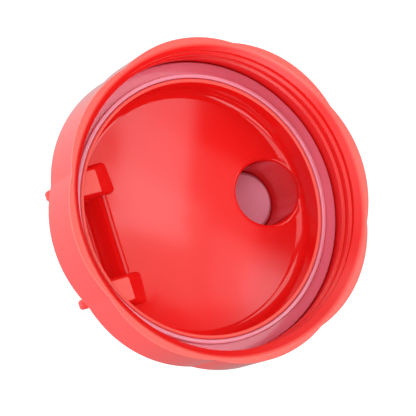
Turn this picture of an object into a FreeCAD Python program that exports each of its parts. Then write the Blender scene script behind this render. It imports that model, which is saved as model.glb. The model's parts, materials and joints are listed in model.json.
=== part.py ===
import FreeCAD, Part
import math
import os

# Screw-on lid of a shaker bottle, with a flip cap and a carry loop. Millimetres.
# Frame: lid upright with its opening down, rim face on Z = 0, thread axis on Z, spout towards +X.

V = FreeCAD.Vector

# ---- Neck and skirt ----
ENTRY_R = 47.2              # inner edge of the rim face, where the bottle neck goes in
SKIRT_HEIGHT = 18.4         # rim face to the top of the shoulder
SHOULDER_THICK = 1.8        # roof over the gasket groove
LOBE_COUNT = 8              # grip lobes round the skirt
LOBE_WALL = 1.9             # width of the rim face at the middle of a lobe
NOTCH_WALL = 0.7            # width of the rim face at a notch
NOTCH_ROUND = 1.2
SHOULDER_ROUND = 1.4        # skirt's top edge
WALL = 1.6                  # moulded wall wherever nothing else is given

# ---- Thread ----
ENTRY_CHAMFER = 1.8         # from the rim's inner edge to the thread root
THREAD_PITCH = 4.4
THREAD_DEPTH = 0.8          # root to crest
THREAD_BASE = 2.4           # ridge width at the root
THREAD_CREST = 0.9          # ridge width at the crest
THREAD_SUNK = 0.4           # ridge's hold in the wall
THREAD_TRIM = 0.2           # ridge is swept this much too tall, then trimmed to a true cylinder
THREAD_FIRST_Z = 1.6        # ridge centre on the spout side, first turn
THREAD_END_GAP = 2.2        # ridge's last centre to the gasket

# ---- Gasket groove, plug wall and gasket ----
GROOVE_WIDTH = 5.6          # thread root to plug wall
PLUG_THICK = 1.2            # plug wall at its rim
PLUG_DROP = 2.7             # plug rim below the groove floor
PLUG_DRAFT = 0.14           # plug wall leans in by this from rim to dome
PLUG_ROUND = 0.5            # edges of the plug wall's rim
GASKET_THICK = 2.0
GASKET_FIT = 0.12           # gasket to plug wall
GASKET_EDGE_GAP = 0.35      # gasket to thread root
BEAD_HEIGHT = 0.95          # raised inner bead
BEAD_WIDTH = 1.35
BEAD_ROUND = 0.4

# ---- Drum and dome ----
DRUM_RISE = 5.1             # shoulder top to the dome's inner edge
DRUM_EXTRA = 0.9            # drum outside the plug wall
DRUM_ROUND = 1.2
DOME_RISE = 2.8             # inner dome, edge to middle
DOME_EDGE_ROUND = 3.0       # where the inner dome meets the plug wall

# ---- Spout ----
BORE_R = 10.2
BORE_EDGE_GAP = 0.15        # bore to plug wall
SPOUT_WALL = 1.5
SPOUT_RISE = 20.5           # dome's inner edge to the spout's lip
MOUTH_ROUND = 1.1           # inner mouth of the bore
LIP_ROUND = 0.5

# ---- Hinge pins ----
PIN_R = 1.5
PIN_RUNNING = 0.05          # radial clearance where something turns on a pin
PIN_END_GAP = 0.3           # pin's end below the face around it
PIN_WALL = 2.0              # material round a pin

# ---- Hinge pedestal ----
PEDESTAL_HALF_WIDTH = 13.8
PEDESTAL_FRONT = 15.5       # front face ahead of the drum's back
PEDESTAL_BACK = 4.4         # back face ahead of the drum's back
PEDESTAL_BACK_WALL = 2.1
PEDESTAL_ROUND = 2.0
POCKET_ROUND = 2.0          # inner mouth of the hollow
PIN_BOSS_WALL = 1.4         # material round the loop pin inside the hollow
LUG_THICK = 3.0

# ---- Flip cap ----
FLIP_AXIS_FROM_BACK = 11.2  # flip axis ahead of the drum's back
FLIP_AXIS_DROP = 0.9        # flip axis below the spout's lip
FLIP_OPEN_DEG = 130.0       # widest opening
KNUCKLE_R = 3.15
KNUCKLE_GAP = 0.35          # knuckle to lugs and to pedestal
CAP_GAP = 0.45              # cap skirt to spout, all round
CAP_WALL = 1.4
CAP_ROOF = 1.6
CAP_SKIRT = 6.0             # cap skirt below the spout's lip
CAP_ROUND = 1.3
ARM_THICK = 2.6
ARM_FLARE = 2.6             # arm's half width grows by this towards the cap
ARM_ROUND = 0.8
RIB_HEIGHT = 1.5
RIB_THICK = 1.4
TAB_REACH = 2.0
TAB_WIDTH = 11.0
TAB_THICK = 1.6

# ---- Spout seal ----
SEAL_GAP = 0.35             # seal to bore and to lip
SEAL_DEPTH = 3.0            # seal's face below the spout's lip
SEAL_CHAMFER = 1.1
SEAL_FLANGE = 1.0
SEAL_FLANGE_INSET = 0.6     # flange's edge inside the cap skirt

# ---- Carry loop and its recesses ----
LOOP_AXIS_FROM_BACK = 6.2   # loop axis ahead of the drum's back
LOOP_AXIS_RISE = 7.5        # loop axis above the dome's inner edge
LOOP_WIDTH = 3.0            # bar width, seen from above
LOOP_HEIGHT = 4.4
LOOP_EYE_R = 6.1
LOOP_SIDE_GAP = 1.7         # loop to pedestal and to flip cap, each side
LOOP_SWING_GAP = 0.8        # loop's bend beyond all that swings inside it
LOOP_ROUND = 0.9
RECESS_SIDE_GAP = 1.15      # loop to the recess's outer wall, at the floor
RECESS_DROP = 1.2           # recess floor below the dome's inner edge
RECESS_LENGTH = 12.6        # level floor, from the drum's back
RECESS_FRONT_DEG = 36.0     # rise of the slope ahead of the floor
RECESS_SIDE_DEG = 71.5      # rise of the outer wall beside the floor
BLOCK_ROUND = 1.4           # edges of the recess's underside

# ---- Worked out: radii and heights of the round parts ----
LOBE_R = ENTRY_R + LOBE_WALL
NOTCH_R = ENTRY_R + NOTCH_WALL
ROOT_R = ENTRY_R - ENTRY_CHAMFER
CREST_R = ROOT_R - THREAD_DEPTH
PLUG_OUTER_R = ROOT_R - GROOVE_WIDTH
PLUG_INNER_R = PLUG_OUTER_R - PLUG_THICK
DOME_EDGE_R = PLUG_INNER_R - PLUG_DRAFT
DRUM_R = PLUG_OUTER_R + DRUM_EXTRA
GROOVE_Z = SKIRT_HEIGHT - SHOULDER_THICK
GASKET_Z = GROOVE_Z - GASKET_THICK
PLUG_Z = GROOVE_Z - PLUG_DROP
DOME_EDGE_Z = SKIRT_HEIGHT + DRUM_RISE
DOME_R = (DOME_EDGE_R ** 2 + DOME_RISE ** 2) / (2 * DOME_RISE)
DOME_CENTRE_Z = DOME_EDGE_Z + DOME_RISE - DOME_R

# ---- Worked out: spout, seal and flip cap ----
SPOUT_X = DOME_EDGE_R - BORE_R - BORE_EDGE_GAP
SPOUT_R = BORE_R + SPOUT_WALL
LIP_Z = DOME_EDGE_Z + SPOUT_RISE
CAP_INNER_R = SPOUT_R + CAP_GAP
CAP_OUTER_R = CAP_INNER_R + CAP_WALL
CAP_BOTTOM_Z = LIP_Z - CAP_SKIRT
FLANGE_Z = LIP_Z + SEAL_GAP
ROOF_Z = FLANGE_Z + SEAL_FLANGE
CAP_TOP_Z = ROOF_Z + CAP_ROOF
TAB_TIP_X = SPOUT_X + CAP_OUTER_R + TAB_REACH
FLIP_AXIS_X = -DRUM_R + FLIP_AXIS_FROM_BACK
FLIP_AXIS_Z = LIP_Z - FLIP_AXIS_DROP
ARM_TOP_Z = FLIP_AXIS_Z + KNUCKLE_R
ARM_Z = ARM_TOP_Z - ARM_THICK

# ---- Worked out: pedestal and lugs ----
PEDESTAL_FRONT_X = -DRUM_R + PEDESTAL_FRONT
PEDESTAL_BACK_X = -DRUM_R + PEDESTAL_BACK
PEDESTAL_TOP_Z = FLIP_AXIS_Z - KNUCKLE_R - KNUCKLE_GAP
POCKET_HALF_WIDTH = PEDESTAL_HALF_WIDTH - WALL
POCKET_FRONT_X = PEDESTAL_FRONT_X - WALL
POCKET_BACK_X = PEDESTAL_BACK_X + PEDESTAL_BACK_WALL
POCKET_TOP_Z = PEDESTAL_TOP_Z - WALL
LUG_R = PIN_R + PIN_WALL
LUG_OUTER_Y = PEDESTAL_HALF_WIDTH - PEDESTAL_ROUND
LUG_INNER_Y = LUG_OUTER_Y - LUG_THICK
KNUCKLE_HALF_WIDTH = LUG_INNER_Y - KNUCKLE_GAP

# ---- Worked out: loop and recesses ----
LOOP_AXIS_X = -DRUM_R + LOOP_AXIS_FROM_BACK
LOOP_AXIS_Z = DOME_EDGE_Z + LOOP_AXIS_RISE
LOOP_INNER_Y = max(PEDESTAL_HALF_WIDTH, CAP_OUTER_R) + LOOP_SIDE_GAP
LOOP_OUTER_Y = LOOP_INNER_Y + LOOP_WIDTH
RECESS_OUTER_Y = LOOP_OUTER_Y + RECESS_SIDE_GAP
RECESS_Z = DOME_EDGE_Z - RECESS_DROP
RECESS_FRONT_X = -DRUM_R + RECESS_LENGTH
FRONT_RUN = 1 / math.tan(math.radians(RECESS_FRONT_DEG))     # how far a slope goes out for each mm up
SIDE_RUN = 1 / math.tan(math.radians(RECESS_SIDE_DEG))
BLOCK_Z = RECESS_Z - WALL
BLOCK_FRONT_X = RECESS_FRONT_X + WALL * math.tan(math.radians(RECESS_FRONT_DEG / 2))   # keeps the wall even
BLOCK_OUTER_Y = RECESS_OUTER_Y + WALL * math.tan(math.radians(RECESS_SIDE_DEG / 2))


def box(x0, x1, y0, y1, z0, z1):
    """A block between two corners."""
    return Part.makeBox(x1 - x0, y1 - y0, z1 - z0, V(x0, y0, z0))


def cylinder_z(radius, z0, z1, x=0.0):
    """An upright cylinder on the XZ plane."""
    return Part.makeCylinder(radius, z1 - z0, V(x, 0, z0))


def cylinder_y(radius, y0, y1, x, z):
    """A cylinder along Y."""
    return Part.makeCylinder(radius, y1 - y0, V(x, y0, z), V(0, 1, 0))


def chain(points):
    """Straight edges through (r, z) points, open at the end."""
    corners = [V(r, 0, z) for r, z in points]
    return [Part.makeLine(a, b) for a, b in zip(corners, corners[1:])]


def revolve(edges, x=0.0):
    """A full turn of a closed profile about an upright axis."""
    shape = Part.Face(Part.Wire(edges)).revolve(V(0, 0, 0), V(0, 0, 1), 360)
    shape.translate(V(x, 0, 0))
    return shape


def turned(points, x=0.0):
    """A full turn of a closed polygon of (r, z) points about an upright axis."""
    return revolve(chain(points + points[:1]), x)


def both_sides(shape):
    """A shape and its mirror image across the XZ plane."""
    return shape.fuse(shape.mirror(V(0, 0, 0), V(0, 1, 0)))


def near(a, b, tolerance=0.02):
    return abs(a - b) < tolerance


def round_edges(shape, radius, test):
    """Rounds the edges that pass a test of their middle point and bounding box."""
    return shape.makeFillet(radius, [e for e in shape.Edges if test(e.CenterOfMass, e.BoundBox)])


def dome_z(radius, r):
    """Height at r of the sphere of this radius about the dome's centre."""
    return DOME_CENTRE_Z + math.sqrt(radius ** 2 - r ** 2)


def dome_arc(radius, edge_r):
    """A dome's section, from its edge to the axis."""
    points = [V(r, 0, dome_z(radius, r)) for r in (edge_r, edge_r / 2, 0)]
    return Part.Arc(*points).toShape()


# ---- Lid shell, outside faces ----

def lobed_skirt():
    """The grip: arcs that meet in rounded notches, with a rounded top edge."""
    half = math.pi / LOBE_COUNT
    edges = []
    for i in range(LOBE_COUNT):
        middle = 2 * half * i
        stops = [(NOTCH_R, middle - half), (LOBE_R, middle), (NOTCH_R, middle + half)]
        edges.append(Part.Arc(*[V(r * math.cos(a), r * math.sin(a), 0) for r, a in stops]).toShape())
    skirt = Part.Face(Part.Wire(edges)).extrude(V(0, 0, SKIRT_HEIGHT))
    skirt = round_edges(skirt, NOTCH_ROUND, lambda c, b: near(c.z, SKIRT_HEIGHT / 2))
    return round_edges(skirt, SHOULDER_ROUND, lambda c, b: near(c.z, SKIRT_HEIGHT))


def drum_and_dome():
    """The raised round middle of the lid, outside faces."""
    edge_z = dome_z(DOME_R + WALL, DRUM_R)
    top_z = dome_z(DOME_R + WALL, 0)
    sides = chain([(0, top_z), (0, PLUG_Z), (DRUM_R, PLUG_Z), (DRUM_R, edge_z)])
    drum = revolve(sides + [dome_arc(DOME_R + WALL, DRUM_R)])
    return round_edges(drum, DRUM_ROUND, lambda c, b: near(c.z, edge_z))


def spout():
    """The spout's outside, with a rounded lip."""
    tube = cylinder_z(SPOUT_R, DOME_EDGE_Z, LIP_Z, SPOUT_X)
    return round_edges(tube, LIP_ROUND, lambda c, b: near(c.z, LIP_Z))


def pedestal():
    """The raised box that carries both hinges, outside faces."""
    body = box(PEDESTAL_BACK_X, PEDESTAL_FRONT_X, -PEDESTAL_HALF_WIDTH, PEDESTAL_HALF_WIDTH,
               RECESS_Z, PEDESTAL_TOP_Z)
    middle_z = (RECESS_Z + PEDESTAL_TOP_Z) / 2
    return round_edges(body, PEDESTAL_ROUND, lambda c, b: near(c.z, PEDESTAL_TOP_Z) or near(c.z, middle_z))


def lug():
    """The lug on the +Y side that holds the flip pin."""
    tip = cylinder_y(LUG_R, LUG_INNER_Y, LUG_OUTER_Y, FLIP_AXIS_X, FLIP_AXIS_Z)
    foot = box(FLIP_AXIS_X - LUG_R, FLIP_AXIS_X + LUG_R, LUG_INNER_Y, LUG_OUTER_Y,
               PEDESTAL_TOP_Z - WALL / 2, FLIP_AXIS_Z)
    return tip.fuse(foot)


def tray(front_x, floor_z, inner_y, outer_y):
    """All above a floor whose front and outer side rise in slopes."""
    back_x = -2 * DRUM_R
    rise = LIP_Z - floor_z
    along = [V(back_x, 0, floor_z), V(front_x, 0, floor_z),
             V(front_x + rise * FRONT_RUN, 0, LIP_Z), V(back_x, 0, LIP_Z)]
    across = [V(back_x, inner_y, floor_z), V(back_x, outer_y, floor_z),
              V(back_x, outer_y + rise * SIDE_RUN, LIP_Z), V(back_x, inner_y, LIP_Z)]
    length = Part.Face(Part.makePolygon(along + along[:1])).extrude(V(0, 2 * DRUM_R, 0))
    width = Part.Face(Part.makePolygon(across + across[:1])).extrude(V(4 * DRUM_R, 0, 0))
    return length.common(width)


def recess():
    """Room for the loop's eye on the +Y side, open at the back and the top."""
    return tray(RECESS_FRONT_X, RECESS_Z, PEDESTAL_HALF_WIDTH, RECESS_OUTER_Y)


# ---- Lid shell, inside faces ----

def recess_block():
    """The underside of the recess on the +Y side, which stands down into the lid."""
    block = tray(BLOCK_FRONT_X, BLOCK_Z, POCKET_HALF_WIDTH, BLOCK_OUTER_Y)
    return round_edges(block, BLOCK_ROUND, lambda c, b: c.z < LIP_Z - 1 and b.XMax > BLOCK_FRONT_X - 1)


def neck_and_dome_room():
    """The room inside the lid: neck, gasket groove, drum and dome."""
    below = -1.0
    sides = chain([(0, below), (ENTRY_R, below), (ENTRY_R, 0), (ROOT_R, ENTRY_CHAMFER), (ROOT_R, GROOVE_Z),
                   (PLUG_OUTER_R, GROOVE_Z), (PLUG_OUTER_R, PLUG_Z), (PLUG_INNER_R, PLUG_Z),
                   (DOME_EDGE_R, DOME_EDGE_Z)])
    axis = chain([(0, dome_z(DOME_R, 0)), (0, below)])
    room = revolve(sides + [dome_arc(DOME_R, DOME_EDGE_R)] + axis)
    room = round_edges(room, PLUG_ROUND, lambda c, b: near(c.z, PLUG_Z))
    return round_edges(room, DOME_EDGE_ROUND, lambda c, b: near(c.z, DOME_EDGE_Z) and near(b.ZLength, 0))


def bore_room():
    """The spout's bore with its rounded inner mouth."""
    flare_r = BORE_R + MOUTH_ROUND
    low_z = dome_z(DOME_R, SPOUT_X + flare_r)
    disc = cylinder_z(flare_r + WALL / 4, low_z, LIP_Z, SPOUT_X)
    dome = disc.common(Part.makeSphere(DOME_R, V(0, 0, DOME_CENTRE_Z)))
    room = dome.fuse(cylinder_z(BORE_R, low_z, LIP_Z + 1, SPOUT_X))
    room = round_edges(room, MOUTH_ROUND, lambda c, b: low_z + 0.1 < c.z < LIP_Z
                       and near(b.XMin, SPOUT_X - BORE_R) and near(b.XMax, SPOUT_X + BORE_R))
    return room.fuse(cylinder_z(BORE_R, DOME_EDGE_Z - DOME_EDGE_ROUND, LIP_Z, SPOUT_X))


def pocket_room():
    """The hollow of the pedestal, which leaves a boss for the loop pin."""
    room = box(POCKET_BACK_X, POCKET_FRONT_X, -POCKET_HALF_WIDTH, POCKET_HALF_WIDTH, BLOCK_Z, POCKET_TOP_Z)
    room = round_edges(room, WALL / 2, lambda c, b: near(c.z, POCKET_TOP_Z))
    boss = cylinder_y(PIN_R + PIN_BOSS_WALL, -POCKET_HALF_WIDTH, POCKET_HALF_WIDTH, LOOP_AXIS_X, LOOP_AXIS_Z)
    return room.cut(boss)


def thread_ridge():
    """The single-start right-hand ridge, chamfered where it runs out at the rim."""
    start_z = THREAD_FIRST_Z - THREAD_PITCH / 2
    height = GASKET_Z - THREAD_END_GAP - start_z
    tip_half = THREAD_CREST / 2 - THREAD_TRIM * (THREAD_BASE - THREAD_CREST) / 2 / THREAD_DEPTH
    outline = [(ROOT_R + THREAD_SUNK, -THREAD_BASE / 2), (ROOT_R, -THREAD_BASE / 2),
               (CREST_R - THREAD_TRIM, -tip_half), (CREST_R - THREAD_TRIM, tip_half),
               (ROOT_R, THREAD_BASE / 2), (ROOT_R + THREAD_SUNK, THREAD_BASE / 2)]
    section = Part.Wire(chain(outline + outline[:1]))
    helix = Part.Wire(Part.makeLongHelix(THREAD_PITCH, height, ROOT_R))
    ridge = helix.makePipeShell([section], True, True)
    ridge.rotate(V(0, 0, 0), V(0, 0, 1), 180)
    ridge.translate(V(0, 0, start_z))
    below = cylinder_z(2 * ENTRY_R, -THREAD_PITCH, 0)
    entry = Part.makeCone(ENTRY_R, CREST_R - 1, ENTRY_R - CREST_R + 1)
    return ridge.cut([below, entry, cylinder_z(CREST_R, -THREAD_PITCH, GROOVE_Z)])


def lid_shell():
    """The moulding that everything else is fitted to."""
    outside = lobed_skirt().fuse(drum_and_dome()).fuse(spout())
    outside = outside.cut(both_sides(recess()))
    outside = outside.fuse(pedestal()).fuse(both_sides(lug()))
    inside = neck_and_dome_room().cut(both_sides(recess_block()))
    inside = inside.fuse(pocket_room())
    shell = outside.cut(inside)
    shell = round_edges(shell, POCKET_ROUND, lambda c, b: near(c.x, POCKET_FRONT_X) and near(c.y, 0)
                        and c.z < DOME_EDGE_Z + DOME_RISE)
    shell = shell.cut([bore_room(), loop_pin(), flip_pin()])
    return shell.fuse(thread_ridge())


# ---- Everything else ----

def neck_gasket():
    """The sealing ring in its groove, with a raised inner bead."""
    inner_r = PLUG_OUTER_R + GASKET_FIT
    outer_r = ROOT_R - GASKET_EDGE_GAP
    bead_z = GASKET_Z - BEAD_HEIGHT
    ring = turned([(inner_r, GROOVE_Z), (inner_r, bead_z), (inner_r + BEAD_WIDTH, bead_z),
                   (inner_r + BEAD_WIDTH, GASKET_Z), (outer_r, GASKET_Z), (outer_r, GROOVE_Z)])
    return round_edges(ring, BEAD_ROUND, lambda c, b: near(c.z, bead_z) or near(b.XMax, outer_r)
                       and near(c.z, GASKET_Z))


def loop_pin():
    """The rod across the pedestal that the loop turns on."""
    half = LOOP_OUTER_Y - PIN_END_GAP
    return cylinder_y(PIN_R, -half, half, LOOP_AXIS_X, LOOP_AXIS_Z)


def flip_pin():
    """The rod across the lugs that the flip cap turns on."""
    half = LUG_OUTER_Y - PIN_END_GAP
    return cylinder_y(PIN_R, -half, half, FLIP_AXIS_X, FLIP_AXIS_Z)


def swing_reach(x, z):
    """Farthest that a flip cap point gets from the loop axis, shut or wide open."""
    angle = math.radians(FLIP_OPEN_DEG)
    dx = x - FLIP_AXIS_X
    dz = z - FLIP_AXIS_Z
    open_x = FLIP_AXIS_X + dx * math.cos(angle) - dz * math.sin(angle)
    open_z = FLIP_AXIS_Z + dx * math.sin(angle) + dz * math.cos(angle)
    places = [(x, z), (open_x, open_z)]
    return max(math.hypot(px - LOOP_AXIS_X, pz - LOOP_AXIS_Z) for px, pz in places)


def carry_loop():
    """A flat bail with an eye at each end, which lies round the spout."""
    corners = [(TAB_TIP_X, CAP_BOTTOM_Z), (TAB_TIP_X, CAP_BOTTOM_Z + TAB_THICK),
               (SPOUT_X + CAP_OUTER_R, CAP_TOP_Z)]
    reach = max(swing_reach(x, z) for x, z in corners) + LOOP_SWING_GAP
    bend_x = LOOP_AXIS_X + reach - LOOP_INNER_Y
    low_z = LOOP_AXIS_Z - LOOP_HEIGHT / 2
    high_z = LOOP_AXIS_Z + LOOP_HEIGHT / 2

    def stadium(half_width):
        bar = box(LOOP_AXIS_X, bend_x, -half_width, half_width, low_z, high_z)
        return bar.fuse(cylinder_z(half_width, low_z, high_z, bend_x)).removeSplitter()

    far = LOOP_AXIS_X - 1
    loop = stadium(LOOP_OUTER_Y).cut([stadium(LOOP_INNER_Y), box(far, LOOP_AXIS_X + 1, -LOOP_INNER_Y,
                                                                  LOOP_INNER_Y, low_z, high_z)])
    loop = round_edges(loop, LOOP_ROUND, lambda c, b: b.XMax > LOOP_AXIS_X + 1
                       and (near(c.z, low_z) or near(c.z, high_z)))
    eye = cylinder_y(LOOP_EYE_R, LOOP_INNER_Y, LOOP_OUTER_Y, LOOP_AXIS_X, LOOP_AXIS_Z)
    eye = round_edges(eye, LOOP_ROUND, lambda c, b: near(c.y, LOOP_INNER_Y) or near(c.y, LOOP_OUTER_Y))
    hole = cylinder_y(PIN_R + PIN_RUNNING, -LOOP_OUTER_Y, LOOP_OUTER_Y, LOOP_AXIS_X, LOOP_AXIS_Z)
    return loop.fuse(both_sides(eye)).cut(hole)


def flip_arm():
    """The plate from knuckle to cap, with two ribs underneath."""
    end_x = SPOUT_X - CAP_INNER_R
    wide = KNUCKLE_HALF_WIDTH + ARM_FLARE
    outline = [(FLIP_AXIS_X, -KNUCKLE_HALF_WIDTH), (SPOUT_X, -wide), (SPOUT_X, wide),
               (FLIP_AXIS_X, KNUCKLE_HALF_WIDTH)]
    corners = [V(x, y, ARM_Z) for x, y in outline]
    plate = Part.Face(Part.makePolygon(corners + corners[:1])).extrude(V(0, 0, ARM_THICK))
    plate = round_edges(plate, ARM_ROUND, lambda c, b: near(c.z, ARM_TOP_Z) and not near(b.XLength, 0))
    rib_y = KNUCKLE_HALF_WIDTH - RIB_THICK
    rib = box(FLIP_AXIS_X, end_x, rib_y - RIB_THICK, rib_y, ARM_Z - RIB_HEIGHT, ARM_Z)
    return plate.fuse(both_sides(rib))


def flip_cap():
    """The cap over the spout, on its arm and knuckle."""
    cap = cylinder_z(CAP_OUTER_R, CAP_BOTTOM_Z, CAP_TOP_Z, SPOUT_X)
    cap = round_edges(cap, CAP_ROUND, lambda c, b: near(c.z, CAP_TOP_Z))
    knuckle = cylinder_y(KNUCKLE_R, -KNUCKLE_HALF_WIDTH, KNUCKLE_HALF_WIDTH, FLIP_AXIS_X, FLIP_AXIS_Z)
    tab = box(SPOUT_X, TAB_TIP_X, -TAB_WIDTH / 2, TAB_WIDTH / 2, CAP_BOTTOM_Z, CAP_BOTTOM_Z + TAB_THICK)
    tab = round_edges(tab, TAB_THICK, lambda c, b: near(c.x, TAB_TIP_X) and near(b.ZLength, TAB_THICK))
    room = cylinder_z(CAP_INNER_R, CAP_BOTTOM_Z - RIB_HEIGHT, ROOF_Z, SPOUT_X)
    hole = cylinder_y(PIN_R + PIN_RUNNING, -LUG_OUTER_Y, LUG_OUTER_Y, FLIP_AXIS_X, FLIP_AXIS_Z)
    return cap.fuse([flip_arm(), knuckle, tab]).cut([room, hole])


def spout_seal():
    """The plug that closes the bore, hung from the cap's roof by its flange."""
    plug_r = BORE_R - SEAL_GAP
    flange_r = CAP_INNER_R - SEAL_FLANGE_INSET
    face_z = LIP_Z - SEAL_DEPTH
    return turned([(0, face_z), (plug_r - SEAL_CHAMFER, face_z), (plug_r, face_z + SEAL_CHAMFER),
                   (plug_r, FLANGE_Z), (flange_r, FLANGE_Z), (flange_r, ROOF_Z), (0, ROOF_Z)], SPOUT_X)


def main():
    os.makedirs("parts", exist_ok=True)
    for make in (lid_shell, neck_gasket, loop_pin, carry_loop, flip_pin, flip_cap, spout_seal):
        shape = make()
        name = make.__name__
        print(name, "valid" if shape.isValid() else "NOT VALID", len(shape.Solids), round(shape.Volume, 1))
        shape.exportStep("parts/" + name + ".step")


main()
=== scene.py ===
# %% [markdown]
# # A screw-on shaker lid, seen from underneath
# The lid is one red polypropylene moulding with a flip cap, a carry loop, two steel hinge
# rods and two pink silicone seals. Every solid comes from CAD as a fixed frame, so this
# lesson is about finishes and light: how moulded plastic, silicone and drawn wire are made
# out of nodes, and how a studio is built round an object that is looked at from below.

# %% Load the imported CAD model
import json
import math
import bpy
from mathutils import Matrix, Vector


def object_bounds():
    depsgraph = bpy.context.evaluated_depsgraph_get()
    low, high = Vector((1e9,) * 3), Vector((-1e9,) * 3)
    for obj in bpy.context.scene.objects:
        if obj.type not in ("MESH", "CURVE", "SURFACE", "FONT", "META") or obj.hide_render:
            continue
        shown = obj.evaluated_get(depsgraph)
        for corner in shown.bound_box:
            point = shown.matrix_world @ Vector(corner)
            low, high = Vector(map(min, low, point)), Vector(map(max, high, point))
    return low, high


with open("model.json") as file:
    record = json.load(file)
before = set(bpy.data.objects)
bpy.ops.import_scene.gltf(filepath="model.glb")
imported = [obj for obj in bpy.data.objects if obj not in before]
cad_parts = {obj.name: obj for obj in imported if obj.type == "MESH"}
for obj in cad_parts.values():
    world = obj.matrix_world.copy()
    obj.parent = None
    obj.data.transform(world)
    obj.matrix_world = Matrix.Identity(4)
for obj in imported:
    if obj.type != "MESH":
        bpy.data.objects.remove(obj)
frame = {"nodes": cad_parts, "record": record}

cad_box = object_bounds()
print("CAD nodes:", sorted(frame["nodes"]))
print("CAD box:", cad_box)

# %% [markdown]
# ## Shader maths as Python
# A node tree is easier to read as an expression. `Shade` wraps one output socket, and
# `1 - mask` or `a * b` adds the Math node that does it. `node` makes any other node, and
# `fade`, `component` and `mix` name the three that the finishes below use most.

# %% A small language for nodes
class Shade:
    """One output socket of a node tree, with arithmetic."""

    def __init__(self, tree, socket):
        self.tree = tree
        self.socket = socket

    def node(self, kind, settings=None, inputs=None, output=0):
        """Adds a node: its settings first, then the values or links of its sockets."""
        made = self.tree.nodes.new(kind)
        for name, value in (settings or {}).items():
            setattr(made, name, value)
        for name, value in (inputs or {}).items():
            if isinstance(value, Shade):
                self.tree.links.new(value.socket, made.inputs[name])
            else:
                made.inputs[name].default_value = value
        return Shade(self.tree, made.outputs[output])

    def maths(self, operation, a, b):
        return self.node("ShaderNodeMath", {"operation": operation}, {0: a, 1: b})

    def __add__(self, other):
        return self.maths("ADD", self, other)

    def __radd__(self, other):
        return self.maths("ADD", other, self)

    def __sub__(self, other):
        return self.maths("SUBTRACT", self, other)

    def __rsub__(self, other):
        return self.maths("SUBTRACT", other, self)

    def __mul__(self, other):
        return self.maths("MULTIPLY", self, other)

    def __rmul__(self, other):
        return self.maths("MULTIPLY", other, self)

    def component(self, index):
        """One component of a vector: 0, 1 or 2 for x, y or z."""
        return self.node("ShaderNodeSeparateXYZ", inputs={0: self}, output=index)

    def fade(self, zero_at, one_at, lowest=0.0):
        """A mask that goes from lowest to 1 as this value goes from zero_at to one_at."""
        ends = {"Value": self, 1: zero_at, 2: one_at, 3: lowest, 4: 1.0}
        return self.node("ShaderNodeMapRange", inputs=ends)

    def mix(self, low, high):
        """A colour between low and high, where this value is 0 and 1."""
        return self.node("ShaderNodeMix", {"data_type": "RGBA"}, {0: self, 6: low, 7: high}, 2)


def rgb(red, green, blue):
    """A linear colour from the 0 to 255 numbers that a colour picker shows."""
    def linear(value):
        value = value / 255
        return value / 12.92 if value < 0.04045 else ((value + 0.055) / 1.055) ** 2.4
    return (linear(red), linear(green), linear(blue), 1.0)


def finish_called(name):
    """A new material: its shader node and a Shade that starts expressions in its tree."""
    material = bpy.data.materials.new(name)
    material.use_nodes = True
    shader = material.node_tree.nodes["Principled BSDF"]
    place = material.node_tree.nodes.new("ShaderNodeTexCoord")
    return material, shader, Shade(material.node_tree, place.outputs["Object"])


def plug_in(shader, **values):
    """Sets shader sockets, written as python words, to numbers or expressions."""
    for name, value in values.items():
        socket = shader.inputs[name.replace("_", " ").title().replace("Ior", "IOR")]
        if isinstance(value, Shade):
            value.tree.links.new(value.socket, socket)
        else:
            socket.default_value = value


print("shader helpers ready")

# %% [markdown]
# ## Light through the hollow pedestal
# The lid's hinge pedestal is hollow underneath, and daylight comes through its thin walls. A
# solid shader can't do that, so the hollow's own faces give off a little red. The mask is a
# box: it measures how far a point is from the hollow's middle, with each half size as 1.

# %% Mask of the hollow
HOLLOW_MIDDLE = (-0.0305, 0.0, 0.0305)
HOLLOW_HALF = (0.0045, 0.0130, 0.0085)


def hollow_mask(at):
    """1 inside the pedestal's hollow and 0 outside it."""
    place = {"Vector": at, "Location": HOLLOW_MIDDLE, "Scale": HOLLOW_HALF}
    local = at.node("ShaderNodeMapping", {"vector_type": "TEXTURE"}, place)
    away = at.node("ShaderNodeVectorMath", {"operation": "ABSOLUTE"}, {0: local})
    level = at.maths("MAXIMUM", away.component(0), away.component(1))
    return at.maths("MAXIMUM", level, away.component(2)).fade(1.0, 0.9)


print("hollow pedestal around", HOLLOW_MIDDLE)

# %% [markdown]
# ## Rough places and painted light
# The lid's thread and the flat faces that look straight down were spark-eroded in the mould,
# so they are rougher than its polished faces. Those flat faces also get a painted sheen, a
# paler red, and two edges are rougher and get painted light: the one that stands on tables,
# and the rim of the plug wall, where it is a painted highlight. The lid is round, so a
# radius, a height and the way a face looks are enough to find them all.

# %% Masks of the moulding
THREAD_FROM = (0.0425, 0.0430)      # radii in metres, where a mask is 0 and where it is 1
THREAD_TO = (0.0475, 0.0471)
PLUG_WALL_TO = (0.0403, 0.0400)
PLUG_RIM_TO = (0.0145, 0.0142)      # heights in metres
TABLE_EDGE_TO = (0.0009, 0.0003)
UNDERSIDE_TO = (0.0215, 0.0209)
LOOKING_DOWN = (-0.95, -0.99)       # vertical part of the face's direction


def radius_at(at):
    """Distance from the lid's axis."""
    level = at.node("ShaderNodeVectorMath", {"operation": "MULTIPLY"}, {0: at, 1: (1, 1, 0)})
    return at.node("ShaderNodeVectorMath", {"operation": "LENGTH"}, {0: level}, 1)


def thread_mask(at):
    radius = radius_at(at)
    return radius.fade(*THREAD_TO) * radius.fade(*THREAD_FROM)


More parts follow.
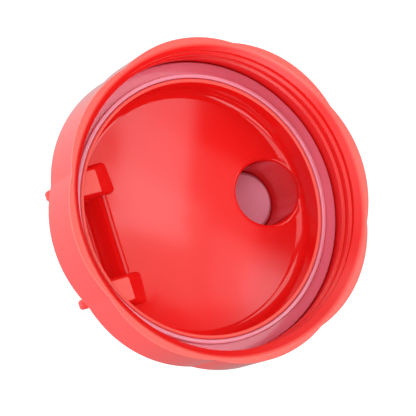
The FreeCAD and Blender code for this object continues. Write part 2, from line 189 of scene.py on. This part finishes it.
def rough_and_painted_light_mask(at):
    height = at.component(2)
    facing = Shade(at.tree, at.socket.node.outputs["Normal"])
    # faces that look down are rougher and get a painted sheen
    flat = facing.component(2).fade(*LOOKING_DOWN) * height.fade(*UNDERSIDE_TO)
    plug_rim = radius_at(at).fade(*PLUG_WALL_TO) * height.fade(*PLUG_RIM_TO)
    # the table edge and the plug rim are rougher and get painted light
    painted_light_edges = at.maths("MAXIMUM", height.fade(*TABLE_EDGE_TO), plug_rim)
    return at.maths("MAXIMUM", flat, painted_light_edges)


print("thread between radii", THREAD_FROM[1], "and", THREAD_TO[1])

# %% [markdown]
# ## Red polypropylene
# The moulding is polypropylene in a strong red: smooth from a polished mould, with a faint
# orange-peel ripple and rubbed areas that blur its reflections here and there. One material
# serves the lid, the loop and the cap. The masks above make it rougher in places, give it a
# paler red as painted sheen and painted highlights, and let the hollow give off its red glow.

# %% Red plastic
POLISHED = 0.07         # roughness of a polished face, and what is added to it
RUB = 0.03
PALE_ROUGHNESS = 0.15
THREAD_ROUGHNESS = 0.22


def red_plastic():
    material, shader, at = finish_called("red_polypropylene")
    ripple = at.node("ShaderNodeTexNoise", inputs={"Vector": at, "Scale": 60.0, "Detail": 1.0})
    rub = at.node("ShaderNodeTexNoise", inputs={"Vector": at, "Scale": 220.0, "Detail": 4.0})
    cloud = at.node("ShaderNodeTexNoise", inputs={"Vector": at, "Scale": 28.0, "Detail": 3.0})
    pale = rough_and_painted_light_mask(at)
    moulded = cloud.mix(rgb(221, 20, 19), rgb(228, 24, 23))
    bump = at.node("ShaderNodeBump", inputs={"Strength": 0.04, "Distance": 0.0005, "Height": ripple})
    # the paler red is painted light: a painted sheen on faces that look down, painted light on the table
    # edge and a painted highlight on the plug rim
    plug_in(shader, base_color=pale.mix(moulded, rgb(244, 89, 80)), normal=bump, ior=1.49)
    eroded = at.maths("MAXIMUM", pale * PALE_ROUGHNESS, thread_mask(at) * THREAD_ROUGHNESS)
    plug_in(shader, roughness=POLISHED + rub * RUB + cloud * RUB + eroded)
    glow = hollow_mask(at).mix((0.0, 0.0, 0.0, 1.0), rgb(100, 7, 7))
    plug_in(shader, emission_color=glow, emission_strength=1.0)
    return material


red = red_plastic()
print(red.name, "has", len(red.node_tree.nodes), "nodes")

# %% [markdown]
# ## Pink silicone
# Both seals are translucent silicone, so a little subsurface light makes them glow softly.
# Inside the bead's radius the pink is paler: on the ring's bead that is a painted highlight,
# and the plug, which lies wholly inside that radius, simply has its own paler pink.

# %% Pink silicone
BEAD_TO = (0.0416, 0.0412)


def pink_silicone(name, low, high, bead_highlight_and_plug_pink, ior):
    material, shader, at = finish_called(name)
    cloud = at.node("ShaderNodeTexNoise", inputs={"Vector": at, "Scale": 60.0, "Detail": 2.0})
    grain = at.node("ShaderNodeTexNoise", inputs={"Vector": at, "Scale": 1500.0, "Detail": 2.0})
    bump = at.node("ShaderNodeBump", inputs={"Strength": 0.08, "Distance": 0.0001, "Height": grain})
    # inside the bead's radius: a painted highlight on the ring's bead, and the plug's own paler pink
    colour = radius_at(at).fade(*BEAD_TO).mix(cloud.mix(low, high), bead_highlight_and_plug_pink)
    plug_in(shader, base_color=colour, roughness=0.12 + grain * 0.08, normal=bump, ior=ior)
    plug_in(shader, subsurface_weight=0.35, subsurface_radius=(0.004, 0.002, 0.002), subsurface_scale=1.0)
    return material


silicones = {
    # the ring's third colour is the painted highlight on its bead
    "neck_gasket": pink_silicone(
        "ring_silicone", rgb(222, 106, 126), rgb(230, 114, 135), rgb(235, 140, 160), 1.6),
    "spout_seal": pink_silicone(
        "plug_silicone", rgb(240, 168, 194), rgb(244, 176, 202), rgb(242, 172, 198), 1.45),
}
print("silicones:", [silicone.name for silicone in silicones.values()])

# %% [markdown]
# ## Drawn steel
# The hinge rods are cut from drawn stainless wire, so fine lines run along Y. Noise that is
# squeezed a hundred times more across the rod than along it makes them.

# %% Drawn steel
def drawn_steel():
    material, shader, at = finish_called("drawn_steel")
    stretch = at.node("ShaderNodeMapping", inputs={"Vector": at, "Scale": (6000.0, 60.0, 6000.0)})
    lines = at.node("ShaderNodeTexNoise", inputs={"Vector": stretch, "Scale": 1.0, "Detail": 3.0})
    bump = at.node("ShaderNodeBump", inputs={"Strength": 0.1, "Distance": 0.00005, "Height": lines})
    plug_in(shader, base_color=lines.mix(rgb(190, 190, 192), rgb(215, 215, 216)), metallic=1.0)
    plug_in(shader, roughness=0.28 + lines * 0.15, normal=bump)
    return material


steel = drawn_steel()
print(steel.name, "has", len(steel.node_tree.nodes), "nodes")

# %% [markdown]
# ## Each piece gets its finish
# The record names a material slot for every piece. The two seals share a slot there, but the
# ring is dyed deeper than the plug, so each has its own silicone.

# %% Finishes on pieces
finishes = {"lid_plastic": red, "pin_steel": steel}
for part in frame["record"]["subparts"]:
    node = frame["nodes"][part["node"]]
    finish = silicones.get(part["node"]) or finishes[part["material_slot"]]
    for index in range(len(node.data.materials)):
        node.data.materials[index] = finish
    print(part["node"], "->", finish.name, len(node.data.polygons), "faces")

# %% [markdown]
# ## Floor
# The lid stands on its rim, and it is shown from below, so the floor has one side: from
# above it is a pale floor, from below it lets everything through. It lies a hair under the
# rim, because two faces in one plane would show as blotches.

# %% One-sided floor
FLOOR_GAP = 0.0003


def pale_floor(height):
    bpy.ops.mesh.primitive_plane_add(size=6.0, location=(0, 0, height))
    floor = bpy.context.object
    floor.name = "studio_floor"
    material, shader, at = finish_called("pale_floor")
    plug_in(shader, base_color=rgb(236, 236, 236), roughness=0.7)
    side = at.node("ShaderNodeNewGeometry", output=6)
    through = at.node("ShaderNodeBsdfTransparent")
    lit = Shade(at.tree, shader.outputs[0])
    mixed = at.node("ShaderNodeMixShader", inputs={0: side, 1: lit, 2: through})
    out = material.node_tree.nodes["Material Output"]
    material.node_tree.links.new(mixed.socket, out.inputs["Surface"])
    floor.data.materials.append(material)
    floor.visible_diffuse = False
    floor.visible_glossy = False
    floor.visible_transmission = False
    floor.visible_shadow = False
    return floor


print("floor:", pale_floor(cad_box[0][2] - FLOOR_GAP).name)

# %% [markdown]
# ## Camera
# The lens is long, as for a product picture, and looks into the open side of the lid. The
# camera's own three directions are kept, since the studio is laid out round them.

# %% Camera
IMAGE_UP = Vector((0.23929, -0.95263, -0.18774))
RIGHT = Vector((0.85734, 0.29806, -0.41969)).normalized()
BACK = RIGHT.cross(IMAGE_UP).normalized()
UP = BACK.cross(RIGHT)


def camera_at(place, focal):
    data = bpy.data.cameras.new("camera")
    data.lens = focal
    data.sensor_width = 36.0
    data.clip_start = 0.01
    camera = bpy.data.objects.new("camera", data)
    turn = Matrix((RIGHT, UP, BACK)).transposed().to_4x4()
    camera.matrix_world = Matrix.Translation(place) @ turn
    bpy.context.scene.collection.objects.link(camera)
    bpy.context.scene.camera = camera
    return camera


camera = camera_at(place=(-0.27218, 0.03680, -0.51842), focal=173.08)
print("camera at", camera.location)

# %% [markdown]
# ## Light
# A smooth plastic shows its studio, so each soft box is placed by the reflection it makes.
# `right` and `up` are its direction as seen from the lid, as parts of a unit vector, and
# `glow` is its radiance, so that a bigger box isn't a dimmer one. The boxes stand far off,
# where the depth of the dome hardly moves their reflections. The key light has no reflection
# of its own: it only lifts the red, and `edge_glint` draws the highlights on the edges.

# %% Soft boxes
STUDIO_RADIUS = 6.0
LID_MIDDLE = Vector((0, 0, 0.02))
LAMP_POWER = 4.0                # watts per square metre that make a radiance of 1


def soft_box(name, right, up, width, height, glow, colour=(1, 1, 1), shines=True):
    data = bpy.data.lights.new(name, "AREA")
    data.shape = "RECTANGLE"
    data.size = width * STUDIO_RADIUS
    data.size_y = height * STUDIO_RADIUS
    data.energy = LAMP_POWER * data.size * data.size_y * glow
    data.color = colour
    way = RIGHT * right + UP * up + BACK * math.sqrt(1 - right ** 2 - up ** 2)
    level = (RIGHT - way * RIGHT.dot(way)).normalized()
    lamp = bpy.data.objects.new(name, data)
    lamp.visible_glossy = shines
    turn = Matrix((level, way.cross(level), way)).transposed().to_4x4()
    lamp.matrix_world = Matrix.Translation(LID_MIDDLE + way * STUDIO_RADIUS) @ turn
    bpy.context.scene.collection.objects.link(lamp)
    print(name, "stands at", [round(x, 2) for x in lamp.location])
    return lamp


PINKISH = (1.0, 0.97, 1.03)     # hue of a soft box
WARM = (1.0, 0.98, 0.90)
# name, right, up, width, height, glow; width and height are shares of the studio's radius
soft_box("right_box_core", 0.787, 0.22, 0.135, 0.30, 1.7, colour=PINKISH)
soft_box("right_box_body", 0.795, 0.345, 0.25, 0.18, 0.65, colour=WARM)
soft_box("right_box_halo", 0.765, 0.335, 0.32, 0.28, 0.6, colour=WARM)
soft_box("low_window_core", 0.625, 0.453, 0.09, 0.075, 1.7, colour=PINKISH)
soft_box("low_window_halo", 0.650, 0.435, 0.16, 0.125, 0.9, colour=PINKISH)
soft_box("key", 0.90, 0.18, 0.24, 0.60, 6.5, shines=False)
soft_box("edge_glint", 0.965, 0.18, 0.24, 0.60, 2.5)
soft_box("under_fill", 0.1, -0.97, 0.8, 0.15, 6.0)
soft_box("front_fill", -0.12, 0.05, 1.2, 1.1, 1.5)
soft_box("high_fill", 0.0, 0.82, 0.9, 0.45, 2.1)
soft_box("low_fill", 0.0, -0.80, 0.8, 0.6, 2.6)

# %% [markdown]
# ## Backdrop
# A white sweep stands behind the lid, and the studio in front of it is dark. The outside of
# the lid mirrors the sweep, which is brighter on one side, and its inside mirrors the room.

# %% White sweep
SWEEP_EDGE = (-0.35, -0.1)      # vertical part of a direction where the sweep starts and is full
ROOM = 0.02                     # share of the sweep's light that the dark room gives
DIM_SIDE = 0.1                  # least radiance of the sweep in a reflection
BEHIND_LID = 1.2                # radiance of the sweep where the camera sees it


def white_sweep(glow, lean):
    """A sweep of this radiance above the lid, which gets brighter along `lean`."""
    world = bpy.data.worlds.new("studio")
    world.use_nodes = True
    bpy.context.scene.world = world
    tree = world.node_tree
    way = Shade(tree, tree.nodes.new("ShaderNodeTexCoord").outputs["Generated"])
    side = way.node("ShaderNodeVectorMath", {"operation": "DOT_PRODUCT"}, {0: way, 1: lean}, 1)
    lit = way.component(2).fade(*SWEEP_EDGE, lowest=ROOM)
    seen = Shade(tree, tree.nodes.new("ShaderNodeLightPath").outputs["Is Camera Ray"])
    mirrored = way.maths("MAXIMUM", side + glow, DIM_SIDE)
    strength = lit * (mirrored * (1 - seen) + seen * BEHIND_LID)
    tree.links.new(strength.socket, tree.nodes["Background"].inputs["Strength"])
    tree.nodes["Background"].inputs["Color"].default_value = (1, 1, 1, 1)
    return world


print("backdrop:", white_sweep(0.8, lean=(-0.8, -0.6, 0.0)).name)
bpy.context.scene.view_settings.view_transform = "Standard"
